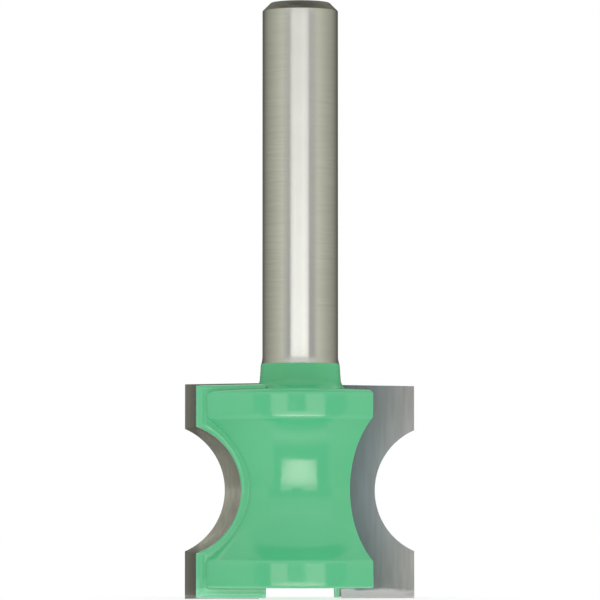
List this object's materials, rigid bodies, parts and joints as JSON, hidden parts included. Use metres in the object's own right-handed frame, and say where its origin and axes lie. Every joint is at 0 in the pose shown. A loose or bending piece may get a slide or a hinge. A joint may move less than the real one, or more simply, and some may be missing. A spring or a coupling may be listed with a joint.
{
  "type": "router bit",
  "caption": "Half-round router bit: ground cylindrical shank, waisted steel cutter body with chip gullets, and brazed carbide tips whose hollow edges round over a board's edge.",
  "frame": {"origin": "on the bit's axis, in the plane of the tips' lower ends", "axes": "+Z along the axis from the cutting end to the shank end; the tip on +X shows its rake face to -Y"},
  "size_m": [0.0192, 0.018, 0.05],
  "materials": {
    "body_steel": "ground shank, cutter body coated gloss green",
    "carbide": "ground tungsten carbide",
    "braze": "silver solder"
  },
  "bodies": {
    "root": {"bit_body": "body_steel", "right_carbide_tip": "carbide", "left_carbide_tip": "carbide", "right_braze": "braze", "left_braze": "braze"}
  },
  "joints": []
}
